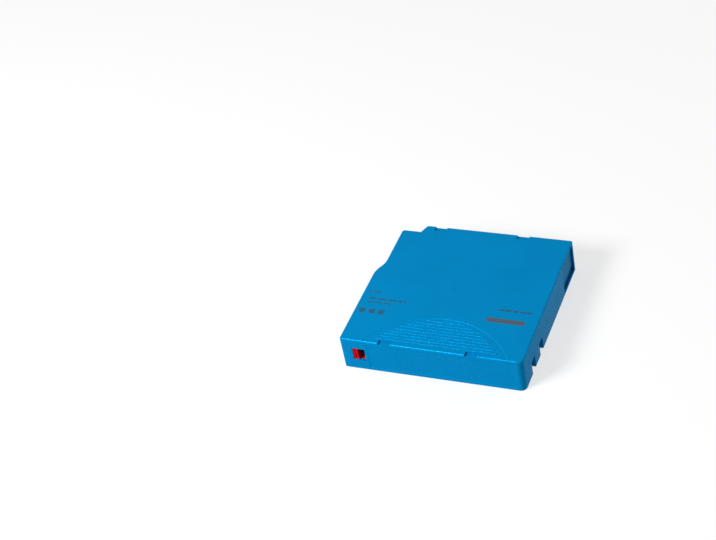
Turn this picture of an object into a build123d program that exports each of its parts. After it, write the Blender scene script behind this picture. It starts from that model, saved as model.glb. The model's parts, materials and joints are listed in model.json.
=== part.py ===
from build123d import *
import math
import os

# Half-inch data tape cartridge, in millimetres.
# X runs across the label end, Y from the label end to the drive end, Z up.
# The origin is under the middle of the case, on the plane that it lies on.

# Case
case_width = 105.4
case_length = 102.0
case_height = 21.5
plate = 1.6
wall = 1.5
front_left_radius = 1.6
front_right_radius = 3.4
rear_left_radius = 1.8
rear_right_radius = 1.0
top_edge_radius = 0.7
least_corner_radius = 0.4
bottom_edge_chamfer = 0.5
part_line_chamfer = 0.2
gate_mark_radius = 0.8
gate_mark_depth = 0.2

# How far cuts run past a face, and how far joined shapes sink into each other
cut_over = 1.0
cut_lap = 0.5
wall_sink = 0.2
ceiling_sink = 0.1

# Step in the left side, and the notch in the left rear corner
side_step = 3.8
step_start_y = 4.0
step_end_y = 18.0
rear_notch_depth = 6.0
rear_notch_width = 15.1
rear_notch_slant = 2.4

# Tongue that locates the cover on the base
tongue_width = 0.6
tongue_height = 0.7
tongue_gap = 0.1
tongue_end_gap = 9.3
tongue_window_gap = 1.0

# Notches under each side, for the gripper of a tape library
side_notch_depth = 2.4
side_notch_roof_drop = 2.05
side_notch_places = ((16.9, 6.2), (31.7, 6.0))
side_notch_wall = 1.2

# Pockets in the long edges of the top
pocket_width = 7.2
pocket_length = 3.5
pocket_depth = 1.2
pocket_spacing = 50.2
pocket_floor = 1.0

# Grip on the top: ribs in a shallow place under an arc
grip_arc_radius = 48.0
grip_arc_rise = 25.8
grip_arc_x = 2.4
grip_sink = 0.3
grip_slope = 50
grip_rib_pitch = 2.3
grip_rib_count = 9
grip_rib_width = 0.9
grip_rib_angle = 50
grip_rib_margin = 5.0
grip_first_rib = 1.2
grip_edge_gap = 0.4

# Label recess in the label end
label_left_margin = 15.7
label_right_margin = 4.6
label_edge_margin = 2.0
label_depth = 0.2
label_edge_slope = 60

# Write-protect window and slider
window_inset = 10.35
window_width = 7.5
window_height = 8.4
window_bottom = 6.9
slider_travel = 4.4
slider_gap = 0.3
slider_rib_width = 2.9
slider_rib_gap = 0.2
slider_rib_set_back = 0.4
slider_floor = 1.3
slider_floor_lift = 0.4
slider_depth = 4.3
slider_tail = 1.4
slider_rib_depth = 3.6
slider_groove_margin = 1.0
slider_groove_depth = 0.5
slider_groove_floor = 0.3
slider_rail = 0.9
slider_rail_height = 2.0
slider_ledge = 1.6
hold_down_inset = 0.8
hold_down_width = 1.0
stop_radius = 0.6
stop_inset = 1.4

# Reel
reel_x = -1.2
reel_gap_to_ends = 2.7
reel_gap_to_sides = 4.4
flange_root = 1.2
flange_rim = 0.9
flange_lift = 1.0
hub_radius = 22.0
hub_wall = 2.6
hub_floor = 2.0
hub_boss_inset = 4.6
stack_allowance = 8.85
tape_side_gap = 0.22
pack_margin = 1.7
pack_gap = 0.03
spigot_gap = 0.05
spigot_wall = 1.2
spigot_depth = 1.3
flange_bore_inset = 5.0
chamber_gap = 0.9
chamber_rib = 1.0
chamber_opening_share = 0.55

# Drive opening in the base, teeth and clutch ring under the hub
drive_opening_gap = 0.7
drive_rim = 2.0
seat_gap = 0.3
teeth_margin = 0.2
teeth_length = 2.9
teeth_height = 1.0
teeth_count = 60
teeth_share = 0.84
tooth_sink = 0.2
clutch_inset = 1.7
clutch_width = 7.0
clutch_thickness = 1.0
clutch_gap = 0.1
clutch_chamfer = 0.2
clutch_recess = 0.4
boss_drop = 1.0
hub_eye = 4.2

# Brake between the hub and the cover
brake_rim_gap = 5.5
brake_teeth_inset = 0.7
brake_teeth_length = 2.4
tooth_margin = 0.2
brake_teeth_height = 1.1
brake_teeth_count = 36
brake_mesh_depth = 0.7
brake_pedestal = 2.2
brake_disc = 1.5
brake_collar_inset = 6.7
brake_headroom = 5.0
brake_collar_floor = 0.6
brake_rim_height = 1.3
brake_rim_width = 0.9
brake_nose_radius = 3.5
brake_nose_chamfer = 0.8
brake_travel = 1.8
key_arm = 9.0
key_thickness = 1.8
key_gap = 0.2
brake_wire = 0.45
brake_coil_inset = 4.7
brake_coil_turns = 4
brake_coil_steps = 18
flat_turn = 0.8
spring_ring_gap = 0.35
spring_ring_wall = 1.0
spring_ring_depth = 1.3
spring_end_gap = 0.1

# Release pad with its three legs
leg_count = 3
leg_inset = 1.7
leg_radius = 1.1
leg_gap = 0.25
leg_reach = 3.4
pad_arm_width = 5.0
pad_thickness = 1.3
pad_radius = 5.4
pad_gap = 0.3

# Leader pin and what holds it
pin_inset_x = 7.9
pin_inset_y = 9.1
pin_margin = 2.55
pin_radius = 1.25
pin_end_radius = 2.2
pin_end_height = 1.3
pin_chamfer = 0.3
pin_end_gap = 0.05
pin_seat_gap = 0.2
pin_seat_wall = 0.9
pin_seat_height = 1.2
pin_seat_mouth = 1.4
clip_gap = 0.03
clip_wall = 0.6
clip_end_gap = 0.25
clip_slot = 1.5
tape_thickness = 0.15
leader_gap = 0.4
sheet = 0.3
pin_spring_arm = 1.2
pin_spring_back = 3.4
pin_spring_foot = 0.5
pin_spring_offset = 1.0
pin_spring_bend = 0.6
pin_spring_web = 1.0
sheet_stand_off = 0.3
keeper_offset = 5.4
keeper_wall = 0.8
keeper_length = 1.3
keeper_shelf = 2.0
keeper_shelf_gap = 0.6
keeper_drop = 2.0

# Door, its channel and its spring
door_thickness = 1.6
door_length = 21.6
door_travel = 20.6
door_gap = 0.3
door_outer_wall = 0.7
door_end_gap = 0.9
door_groove = 0.8
door_opening_margin = 2.3
door_opening_length = 20.7
door_step_depth = 0.8
door_step_height = 5.7
spring_wire = 0.18
spring_coil_radius = 1.0
spring_turns = 14
spring_steps = 10
spring_room = 65.2
spring_stop_width = 1.0
spring_stop_rise = 2.25
door_rod_radius = 0.55
door_rod_length = 4.5
door_tail_width = 2.0
door_tail_length = 1.6
door_tail_height = 4.6
channel_rib = 0.7
channel_rib_height = 6.0
channel_rib_gap = 1.2
channel_rib_end_gap = 3.0
channel_end_wall = 0.3

# Screws, and the posts that they join; insets from the sides and ends of the case
front_left_screw_inset = (4.6, 9.2)
front_right_screw_inset = (5.2, 5.1)
rear_left_screw_inset = (4.6, 4.6)
rear_right_screw_inset = (6.0, 4.3)
post_radius = 2.5
screw_radius = 1.0
screw_gap = 0.02
screw_pass_gap = 0.2
screw_head_radius = 1.8
screw_head_height = 1.5
screw_head_gap = 0.25
screw_seat = 3.0
screw_top_margin = 4.5
screw_tip_gap = 1.0
screw_socket = 0.9
screw_socket_depth = 0.9

# Datum holes in the base, one round and one slotted
datum_round_inset = 22.2
datum_slot_inset = 25.2
datum_end_inset = 6.3
datum_radius = 1.75
datum_slot_length = 2.2
datum_depth = 6.0
datum_wall = 1.15
datum_roof = 1.4

# Cartridge memory
board_inset_x = 14.7
board_inset_y = 5.8
board_z = 5.7
board_width = 10.0
board_height = 8.0
board_thickness = 0.8
board_slot_gap = 0.1
board_engagement = 0.8
board_rib = 1.4
board_rib_height = 7.9
board_rib_length = 7.6
chip_size = 2.8
chip_height = 0.8
chip_draft = 12
antenna_margin = 0.7
antenna_width = 1.1
antenna_thickness = 0.15

# Heights and places that follow from the sizes above
half_width = case_width / 2
half_length = case_length / 2
part_line = case_height / 2
left_step_x = -half_width + side_step
rear_notch_end_x = -half_width + rear_notch_width
side_notch_height = part_line - side_notch_roof_drop
grip_arc_top_y = -half_length + grip_arc_rise
grip_reach = half_width - grip_arc_x - grip_rib_margin
rear_notch_y = half_length - rear_notch_depth
ceiling = case_height - plate
inner_front_y = -half_length + wall
inner_rear_y = half_length - wall
inner_right_x = half_width - wall
root_z = plate / 2

label_left_x = -half_width + label_left_margin
label_right_x = half_width - label_right_margin
label_middle_x = (label_left_x + label_right_x) / 2
label_width = label_right_x - label_left_x
label_height = case_height - 2 * label_edge_margin

flange_radius = min(half_length - reel_gap_to_ends, half_width - reel_gap_to_sides)
pack_radius = flange_radius - pack_margin
tape_width = case_height - stack_allowance
flange_bore = hub_radius - flange_bore_inset
hub_boss_radius = hub_radius - hub_boss_inset
teeth_outer = hub_boss_radius - teeth_margin
teeth_inner = teeth_outer - teeth_length
leg_circle = hub_boss_radius - leg_inset
clutch_outer = teeth_inner - clutch_inset
clutch_inner = clutch_outer - clutch_width
flange_bottom = plate + flange_lift
flange_top = flange_bottom + flange_root
tape_bottom = flange_top + tape_side_gap
tape_top = tape_bottom + tape_width
hub_top = tape_top + tape_side_gap
teeth_root = flange_bottom - boss_drop
floor_under = teeth_root + clutch_recess
floor_top = floor_under + hub_floor
hub_inner = hub_radius - hub_wall
brake_rim_radius = hub_inner - brake_rim_gap
brake_teeth_outer = brake_rim_radius - brake_teeth_inset
brake_teeth_inner = brake_teeth_outer - brake_teeth_length
brake_collar_radius = brake_rim_radius - brake_collar_inset
brake_coil_radius = brake_rim_radius - brake_coil_inset
chamber_radius = flange_radius + chamber_gap
opening_radius = hub_boss_radius + drive_opening_gap
brake_step = 360 / brake_teeth_count

pedestal_top = floor_top + brake_pedestal
brake_teeth_tip = pedestal_top + brake_teeth_height - brake_mesh_depth
brake_under = brake_teeth_tip + brake_teeth_height
brake_top = brake_under + brake_disc
collar_top = ceiling - brake_headroom
pad_bottom = floor_top + pad_gap
pad_top = pad_bottom + pad_thickness
key_bottom = brake_top + brake_collar_floor + brake_travel + seat_gap

pin_x = half_width - pin_inset_x
pin_y = half_length - pin_inset_y
pin_bottom = pin_margin
pin_top = case_height - pin_margin
pin_length = pin_top - pin_bottom
keeper_x = pin_x - keeper_offset

door_opening_end_y = half_length - door_opening_margin
door_opening_start_y = door_opening_end_y - door_opening_length
door_outer_x = half_width - door_outer_wall - door_gap
door_inner_x = door_outer_x - door_thickness
door_front_y = inner_rear_y - door_end_gap
door_tail_y = door_front_y - door_length
door_bottom = plate - door_groove + door_gap
door_top = case_height - door_bottom
channel_outer_x = half_width - door_outer_wall
channel_inner_x = door_inner_x - door_gap
channel_end_y = inner_rear_y - channel_end_wall
channel_rib_x = channel_inner_x - channel_rib_gap - channel_rib
spring_x = channel_outer_x - door_gap - spring_coil_radius - spring_wire
spring_z = case_height / 2
spring_stop_y = half_length - spring_room
tongue_end_y = spring_stop_y - tongue_end_gap

window_x = -half_width + window_inset
slider_front_y = inner_front_y + slider_gap
slider_back_y = slider_front_y + slider_depth
slider_rib_x = window_x - window_width / 2 + slider_rib_gap
slider_left_x = slider_rib_x - slider_tail
slider_right_x = window_x + window_width / 2 + slider_rib_gap
slider_top_of_floor = window_bottom + slider_floor_lift
slider_bottom = slider_top_of_floor - slider_floor
slider_rib_top = window_bottom + window_height - slider_rib_gap
rail_front_y = slider_back_y + slider_gap
slider_stop_x = slider_right_x - stop_inset

screw_places = (
    (-half_width + front_left_screw_inset[0], -half_length + front_left_screw_inset[1]),
    (half_width - front_right_screw_inset[0], -half_length + front_right_screw_inset[1]),
    (left_step_x + rear_left_screw_inset[0], rear_notch_y - rear_left_screw_inset[1]),
    (half_width - rear_right_screw_inset[0], half_length - rear_right_screw_inset[1]),
)
screw_top = case_height - screw_top_margin

datum_round_x = -half_width + datum_round_inset
datum_slot_x = half_width - datum_slot_inset
datum_y = -half_length + datum_end_inset
board_x = half_width - board_inset_x
board_y = -half_length + board_inset_y

reel_plane = Plane((reel_x, 0, 0))
reel_section = Plane(origin=(reel_x, 0, 0), x_dir=(1, 0, 0), z_dir=(0, -1, 0))
pin_plane = Plane((pin_x, pin_y, 0))
pin_section = Plane(origin=(pin_x, pin_y, 0), x_dir=(1, 0, 0), z_dir=(0, -1, 0))


def case_profile(inset):
    """Plan outline of the case, drawn inwards by the inset."""
    step_middle = ((left_step_x - half_width) / 2, (step_start_y + step_end_y) / 2)
    slant_top_x = rear_notch_end_x + rear_notch_slant
    corners = (
        (-half_width, -half_length, front_left_radius),
        (half_width, -half_length, front_right_radius),
        (half_width, half_length, rear_right_radius),
        (slant_top_x, half_length, rear_left_radius),
        (left_step_x, rear_notch_y, rear_left_radius),
    )
    with BuildSketch(mode=Mode.PRIVATE) as profile:
        with BuildLine():
            Polyline(
                (-half_width, step_start_y),
                (-half_width, -half_length),
                (half_width, -half_length),
                (half_width, half_length),
                (slant_top_x, half_length),
                (rear_notch_end_x, rear_notch_y),
                (left_step_x, rear_notch_y),
                (left_step_x, step_end_y),
            )
            upper_bend = TangentArc((left_step_x, step_end_y), step_middle, tangent=(0, -1))
            TangentArc(step_middle, (-half_width, step_start_y), tangent=upper_bend % 1)
        make_face()
        if inset:
            offset(amount=-inset, kind=Kind.INTERSECTION, mode=Mode.REPLACE)
        for x, y, radius in corners:
            corner = profile.vertices().sort_by_distance((x, y))[0]
            fillet(corner, max(radius - inset, least_corner_radius))
    return profile.sketch


def box_between(low, high, mode=Mode.ADD):
    """Box from one corner to the opposite corner."""
    size = [b - a for a, b in zip(low, high)]
    middle = [(a + b) / 2 for a, b in zip(low, high)]
    with Locations(tuple(middle)):
        Box(*size, mode=mode)


def add_chamber_wall(low, high):
    """Round wall about the reel, open towards the door channel and the tape's way out."""
    with BuildSketch(Plane.XY.offset(low)) as ring:
        add(inner_profile)
        with Locations((reel_x, 0)):
            Circle(chamber_radius + chamber_rib, mode=Mode.INTERSECT)
            Circle(chamber_radius, mode=Mode.SUBTRACT)
        with Locations((half_width / 2, 0)):
            Rectangle(half_width, 2 * chamber_radius * chamber_opening_share, mode=Mode.SUBTRACT)
        with Locations((half_width / 2, half_length / 2)):
            Rectangle(half_width, half_length, mode=Mode.SUBTRACT)
    extrude(ring.sketch, amount=high - low)


def cut_door_ways(low, high, groove_low, groove_high):
    """Channel, side opening and groove for the door, in one half of the case."""
    box_between(
        (channel_inner_x, spring_stop_y, low),
        (channel_outer_x, channel_end_y, high),
        Mode.SUBTRACT,
    )
    box_between(
        (channel_outer_x - cut_lap, door_opening_start_y, low),
        (half_width + cut_over, door_opening_end_y, high),
        Mode.SUBTRACT,
    )
    box_between(
        (channel_inner_x, door_tail_y - door_travel - door_gap, groove_low),
        (channel_outer_x, channel_end_y, groove_high),
        Mode.SUBTRACT,
    )


def coil_points(radius, wire, height, turns, steps):
    """Points along a compression coil whose end turns lie nearly flat."""
    flat = flat_turn / turns
    points = []
    for index in range(turns * steps + 1):
        share = index / (turns * steps)
        rise = min(max((share - flat) / (1 - 2 * flat), 0), 1)
        closing = 2 * wire * (min(share, flat) + max(share - 1 + flat, 0)) / flat
        angle = 2 * math.pi * turns * share
        level = closing + rise * (height - 4 * wire)
        points.append((radius * math.cos(angle), radius * math.sin(angle), level))
    return points


def cut_label_recess():
    """Shallow place with sloping edges for the label, in the label end of one half."""
    with BuildSketch(Plane.XZ.offset(half_length)) as place:
        with Locations((label_middle_x, case_height / 2)):
            Rectangle(label_width, label_height)
    extrude(place.sketch, amount=-label_depth, taper=label_edge_slope, mode=Mode.SUBTRACT)


def add_pin_seat(low):
    """Seat about one end of the leader pin, open towards the door."""
    with BuildSketch(pin_plane.offset(low)) as seat:
        Circle(pin_end_radius + pin_seat_gap + pin_seat_wall)
        Circle(pin_end_radius + pin_seat_gap, mode=Mode.SUBTRACT)
        with Locations((-pin_seat_mouth, 0)):
            Rectangle(
                4 * pin_end_radius,
                4 * pin_end_radius,
                align=(Align.MIN, Align.CENTER),
                mode=Mode.SUBTRACT,
            )
    extrude(seat.sketch, amount=pin_seat_height)


def tooth(inner, outer, height, step):
    """One radial tooth with a triangular section, its root on the plane at zero height."""
    half_root = math.radians(step) * teeth_share * inner / 2
    sink = -math.copysign(tooth_sink, height)
    with BuildPart(mode=Mode.PRIVATE) as one:
        with BuildSketch(Plane(origin=(inner, 0, 0), x_dir=(0, 1, 0), z_dir=(1, 0, 0))):
            with BuildLine():
                Polyline(
                    (-half_root, sink),
                    (-half_root, 0),
                    (0, height),
                    (half_root, 0),
                    (half_root, sink),
                    close=True,
                )
            make_face()
        extrude(amount=outer - inner)
    return one.part


os.makedirs("parts", exist_ok=True)
outer_profile = case_profile(0)
inner_profile = case_profile(wall)

# Lower half of the case
with BuildPart() as base_shell:
    with BuildSketch():
        add(outer_profile)
    extrude(amount=part_line)
    chamfer(base_shell.faces().sort_by(Axis.Z)[0].edges(), bottom_edge_chamfer)
    chamfer(base_shell.faces().sort_by(Axis.Z)[-1].edges(), part_line_chamfer)
    with BuildSketch(Plane.XY.offset(plate)):
        add(inner_profile)
    extrude(amount=part_line - plate, mode=Mode.SUBTRACT)
    with BuildSketch(Plane.XY.offset(part_line)):
        add(case_profile(wall - tongue_width))
        add(inner_profile, mode=Mode.SUBTRACT)
        with Locations((half_width, tongue_end_y)):
            Rectangle(
                half_width / 2,
                case_length,
                align=(Align.CENTER, Align.MIN),
                mode=Mode.SUBTRACT,
            )
        with Locations((window_x, -half_length)):
            Rectangle(window_width + 2 * tongue_window_gap, 4 * wall, mode=Mode.SUBTRACT)
    extrude(amount=tongue_height)
    add_chamber_wall(plate, part_line)
    for side in (-1, 1):
        for notch_inset, notch_width in side_notch_places:
            notch_y = -half_length + notch_inset
            outer_x = side * half_width
            inner_x = side * (half_width - side_notch_depth)
            backing_x = inner_x - side * side_notch_wall
            low_y = notch_y - notch_width / 2
            high_y = notch_y + notch_width / 2
            rooted_x = outer_x - side * cut_lap
            beyond_x = outer_x + side * cut_over
            box_between(
                (min(rooted_x, backing_x), low_y - side_notch_wall, root_z),
                (max(rooted_x, backing_x), high_y + side_notch_wall,
                 side_notch_height + side_notch_wall),
            )
            box_between(
                (min(beyond_x, inner_x), low_y, -cut_over),
                (max(beyond_x, inner_x), high_y, side_notch_height),
                Mode.SUBTRACT,
            )
    with BuildSketch(reel_plane.offset(plate)):
        Circle(opening_radius + drive_rim)
    extrude(amount=flange_lift - seat_gap)
    with BuildSketch(reel_plane):
        Circle(opening_radius)
    extrude(amount=flange_bottom, mode=Mode.SUBTRACT)
    with BuildSketch():
        with Locations(*screw_places):
            Circle(post_radius)
    extrude(amount=part_line)
    with BuildSketch(Plane.XY.offset(root_z)):
        with Locations((datum_slot_x, datum_y)):
            SlotCenterToCenter(datum_slot_length, 2 * (datum_radius + datum_wall))
    extrude(amount=datum_depth + datum_roof - root_z)
    with BuildSketch():
        with Locations((datum_slot_x, datum_y)):
            SlotCenterToCenter(datum_slot_length, 2 * datum_radius)
    extrude(amount=datum_depth, mode=Mode.SUBTRACT)
    with BuildSketch():
        with Locations((datum_round_x, datum_y)):
            Circle(datum_radius + datum_wall)
    extrude(amount=part_line, mode=Mode.SUBTRACT)
    with Locations(*[(x, y, 0) for x, y in screw_places]):
        Cylinder(
            screw_radius + screw_pass_gap,
            part_line,
            align=(Align.CENTER, Align.CENTER, Align.MIN),
            mode=Mode.SUBTRACT,
        )
        Cylinder(
            screw_head_radius + screw_head_gap,
            screw_seat,
            align=(Align.CENTER, Align.CENTER, Align.MIN),
            mode=Mode.SUBTRACT,
        )
    with BuildSketch(pin_plane.offset(plate)):
        Circle(pin_end_radius + pin_seat_gap + pin_seat_wall)
    extrude(amount=pin_bottom - pin_end_gap - plate)
    add_pin_seat(pin_bottom - pin_end_gap)
    box_between(
        (channel_rib_x, spring_stop_y, plate),
        (channel_rib_x + channel_rib, door_tail_y - channel_rib_end_gap, plate + channel_rib_height),
    )
    above_line = part_line + cut_over
    cut_door_ways(plate, above_line, plate - door_groove, plate)
    box_between(
        (channel_rib_x, spring_stop_y - spring_stop_width, root_z),
        (inner_right_x - tongue_gap, spring_stop_y, spring_z + spring_stop_rise),
    )
    box_between(
        (window_x - window_width / 2, -half_length - cut_over, window_bottom),
        (window_x + window_width / 2, slider_front_y, above_line),
        Mode.SUBTRACT,
    )
    box_between(
        (slider_left_x - slider_gap, rail_front_y, root_z),
        (slider_right_x + slider_travel, rail_front_y + slider_rail,
         slider_top_of_floor + slider_rail_height),
    )
    box_between(
        (slider_left_x - slider_gap, inner_front_y - wall_sink, root_z),
        (slider_right_x + slider_travel, inner_front_y + slider_ledge, slider_bottom - slider_gap),
    )
    box_between(
        (slider_stop_x - stop_radius - slider_gap, rail_front_y - cut_lap, slider_bottom - slider_gap),
        (slider_stop_x + slider_travel + stop_radius + slider_gap,
         rail_front_y + stop_radius, part_line),
        Mode.SUBTRACT,
    )
    for side in (-1, 1):
        rib_x = board_x + side * (board_width / 2 - board_engagement + board_rib / 2)
        box_between(
            (rib_x - board_rib / 2, inner_front_y - wall_sink, root_z),
            (rib_x + board_rib / 2, inner_front_y + board_rib_length, plate + board_rib_height),
        )
    with BuildSketch(
        Plane(origin=(board_x, board_y, board_z), x_dir=(1, 0, 0), z_dir=(0, -1, -1))
    ):
        Rectangle(board_width + 2 * board_slot_gap, board_height + 2 * board_slot_gap)
    extrude(amount=board_thickness / 2 + board_slot_gap, both=True, mode=Mode.SUBTRACT)
    box_between(
        (keeper_x, inner_rear_y - keeper_length, root_z),
        (keeper_x + keeper_wall, inner_rear_y + wall_sink, part_line - keeper_drop),
    )
    box_between(
        (keeper_x + keeper_wall, inner_rear_y - keeper_length, root_z),
        (keeper_x + keeper_wall + keeper_shelf, inner_rear_y - keeper_shelf_gap,
         part_line - 2 * keeper_drop),
    )
    cut_label_recess()
base_shell.part.label = "base_shell"
export_step(base_shell.part, "parts/base_shell.step")

# Post about the round datum hole, fused into the lower half of the case
with BuildPart() as datum_post:
    with BuildSketch():
        with Locations((datum_round_x, datum_y)):
            Circle(datum_radius + datum_wall)
    extrude(amount=datum_depth + datum_roof)
    with BuildSketch():
        with Locations((datum_round_x, datum_y)):
            Circle(datum_radius)
    extrude(amount=datum_depth, mode=Mode.SUBTRACT)
datum_post.part.label = "datum_post"
export_step(datum_post.part, "parts/datum_post.step")

# Upper half of the case
with BuildPart() as cover_shell:
    with BuildSketch(Plane.XY.offset(part_line)):
        add(outer_profile)
    extrude(amount=case_height - part_line)
    fillet(cover_shell.faces().sort_by(Axis.Z)[-1].edges(), top_edge_radius)
    chamfer(cover_shell.faces().sort_by(Axis.Z)[0].edges(), part_line_chamfer)
    with BuildSketch(Plane.XY.offset(part_line)):
        add(inner_profile)
    extrude(amount=ceiling - part_line, mode=Mode.SUBTRACT)
    with BuildSketch(Plane.XY.offset(part_line)):
        add(case_profile(wall - tongue_width - tongue_gap))
    extrude(amount=tongue_height + tongue_gap, mode=Mode.SUBTRACT)
    add_chamber_wall(part_line + tongue_height + tongue_gap, ceiling)
    for side in (-1, 1):
        for end in (-1, 1):
            pocket_x = reel_x + side * pocket_spacing / 2
            inner_y = end * (half_length - pocket_length)
            beyond_y = end * (half_length + cut_over)
            rooted_y = end * (half_length - cut_lap)
            floor_y = inner_y - end * pocket_floor
            box_between(
                (pocket_x - pocket_width / 2 - pocket_floor, min(floor_y, rooted_y),
                 case_height - pocket_depth - pocket_floor),
                (pocket_x + pocket_width / 2 + pocket_floor, max(floor_y, rooted_y),
                 ceiling + ceiling_sink),
            )
            box_between(
                (pocket_x - pocket_width / 2, min(inner_y, beyond_y),
                 case_height - pocket_depth),
                (pocket_x + pocket_width / 2, max(inner_y, beyond_y), case_height + cut_over),
                Mode.SUBTRACT,
            )
    with BuildSketch(reel_plane.offset(case_height)):
        Circle(gate_mark_radius)
    extrude(amount=-gate_mark_depth, mode=Mode.SUBTRACT)
    grip_centre_y = grip_arc_top_y - grip_arc_radius
    grip_slope_width = grip_sink * math.tan(math.radians(grip_slope))
    with BuildSketch(Plane.XY.offset(case_height - grip_sink)):
        with Locations((grip_arc_x, grip_centre_y)):
            Circle(grip_arc_radius - grip_slope_width)
        add(case_profile(top_edge_radius + grip_edge_gap + grip_slope_width), mode=Mode.INTERSECT)
    extrude(amount=grip_sink, taper=-grip_slope, mode=Mode.SUBTRACT)
    for index in range(grip_rib_count):
        rib_y = grip_arc_top_y - (index + grip_first_rib) * grip_rib_pitch
        reach = math.sqrt(grip_arc_radius**2 - (rib_y - grip_centre_y) ** 2) - grip_rib_margin
        rib_start = (grip_arc_x, rib_y, case_height - grip_sink)
        with BuildSketch(Plane(origin=rib_start, x_dir=(0, 1, 0), z_dir=(1, 0, 0))):
            Trapezoid(grip_rib_width, grip_sink, grip_rib_angle, align=(Align.CENTER, Align.MIN))
        extrude(amount=min(reach, grip_reach), both=True)
    with BuildSketch(Plane.XY.offset(part_line)):
        with Locations(*screw_places):
            Circle(post_radius)
    extrude(amount=ceiling - part_line)
    with Locations(*[(x, y, part_line) for x, y in screw_places]):
        Cylinder(
            screw_radius + screw_gap,
            screw_top + screw_tip_gap - part_line,
            align=(Align.CENTER, Align.CENTER, Align.MIN),
            mode=Mode.SUBTRACT,
        )
    with BuildSketch(reel_plane.offset(key_bottom)):
        Rectangle(key_arm, key_thickness)
        Rectangle(key_thickness, key_arm)
    extrude(amount=ceiling - key_bottom)
    ring_inner = brake_coil_radius + brake_wire + spring_ring_gap
    with BuildSketch(reel_plane.offset(ceiling - spring_ring_depth)):
        Circle(ring_inner + spring_ring_wall)
        Circle(ring_inner, mode=Mode.SUBTRACT)
    extrude(amount=spring_ring_depth)
    with BuildSketch(pin_plane.offset(pin_top + pin_end_gap)):
        Circle(pin_end_radius + pin_seat_gap + pin_seat_wall)
    extrude(amount=ceiling - pin_top - pin_end_gap)
    add_pin_seat(pin_top + pin_end_gap - pin_seat_height)
    below_line = part_line - cut_over
    cut_door_ways(below_line, ceiling, ceiling, ceiling + door_groove)
    box_between(
        (window_x - window_width / 2, -half_length - cut_over, below_line),
        (window_x + window_width / 2, slider_front_y, window_bottom + window_height),
        Mode.SUBTRACT,
    )
    box_between(
        (slider_left_x - slider_gap, slider_front_y + hold_down_inset,
         slider_rib_top + slider_gap),
        (slider_right_x + slider_travel, slider_front_y + hold_down_inset + hold_down_width,
         ceiling + ceiling_sink),
    )
    cut_label_recess()
cover_shell.part.label = "cover_shell"
export_step(cover_shell.part, "parts/cover_shell.step")

# Case screws, four alike
with BuildPart() as screw:
    with BuildSketch(Plane.XZ):
        with BuildLine():
            Polyline(
                (0, screw_seat - screw_head_height),
                (screw_head_radius, screw_seat - screw_head_height),
                (screw_head_radius, screw_seat),
                (screw_radius, screw_seat),
                (screw_radius, screw_top - screw_radius),
                (0, screw_top),
                close=True,
            )
        make_face()
    revolve(axis=Axis.Z)
    with BuildSketch(Plane.XY.offset(screw_seat - screw_head_height)):
        RegularPolygon(screw_socket, 6)
    extrude(amount=screw_socket_depth, mode=Mode.SUBTRACT)
with BuildPart() as case_screws:
    with Locations(*[(x, y, 0) for x, y in screw_places]):
        add(screw.part)
case_screws.part.label = "case_screws"
export_step(case_screws.part, "parts/case_screws.step")

# Hub with the lower flange, the drive teeth and the brake teeth
drive_tooth = tooth(teeth_inner, teeth_outer, -teeth_height, 360 / teeth_count)
brake_tooth = tooth(brake_teeth_inner, brake_teeth_outer, brake_teeth_height, brake_step)
brake_tooth_down = tooth(brake_teeth_inner, brake_teeth_outer, -brake_teeth_height, brake_step)
leg_sector = 360 / leg_count
pedestal_inner = brake_teeth_inner - tooth_margin
slot_half_angle = math.degrees(math.asin((pad_arm_width / 2 + leg_gap) / pedestal_inner))
first_tooth = math.ceil((slot_half_angle + brake_step / 2) / brake_step)
teeth_in_sector = round(leg_sector / brake_step) - 2 * first_tooth + 1
tooth_angles = [
    sector * leg_sector + (first_tooth + index) * brake_step
    for sector in range(leg_count)
    for index in range(teeth_in_sector)
]
with BuildPart() as reel_hub:
    with BuildSketch(reel_section):
        with BuildLine():
            Polyline(
                (hub_eye, floor_under),
                (clutch_outer + clutch_gap, floor_under),
                (clutch_outer + clutch_gap, teeth_root),
                (hub_boss_radius, teeth_root),
                (hub_boss_radius, flange_bottom),
                (opening_radius + drive_rim, flange_bottom),
                (flange_radius, flange_top - flange_rim),
                (flange_radius, flange_top),
                (hub_radius, flange_top),
                (hub_radius, hub_top),
                (hub_inner, hub_top),
                (hub_inner, floor_top),
                (hub_eye, floor_top),
                close=True,
            )
        make_face()
    revolve(axis=Axis((reel_x, 0, 0), (0, 0, 1)))
    with BuildSketch(reel_plane.offset(floor_top - tooth_sink)):
        Circle(brake_teeth_outer + tooth_margin)
        Circle(pedestal_inner, mode=Mode.SUBTRACT)
        with PolarLocations(leg_circle / 2, leg_count):
            Rectangle(leg_circle, pad_arm_width + 2 * leg_gap, mode=Mode.SUBTRACT)
    extrude(amount=brake_pedestal + tooth_sink)
    with Locations((reel_x, 0, teeth_root)):
        with PolarLocations(0, teeth_count):
            add(drive_tooth)
    with Locations(*[
        Location((reel_x, 0, pedestal_top), (0, 0, angle)) for angle in tooth_angles
    ]):
        add(brake_tooth)
    with BuildSketch(reel_plane):
        with PolarLocations(leg_circle, leg_count):
            Circle(leg_radius + leg_gap)
    extrude(amount=floor_top, mode=Mode.SUBTRACT)
reel_hub.part.label = "reel_hub"
export_step(reel_hub.part, "parts/reel_hub.step")

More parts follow.
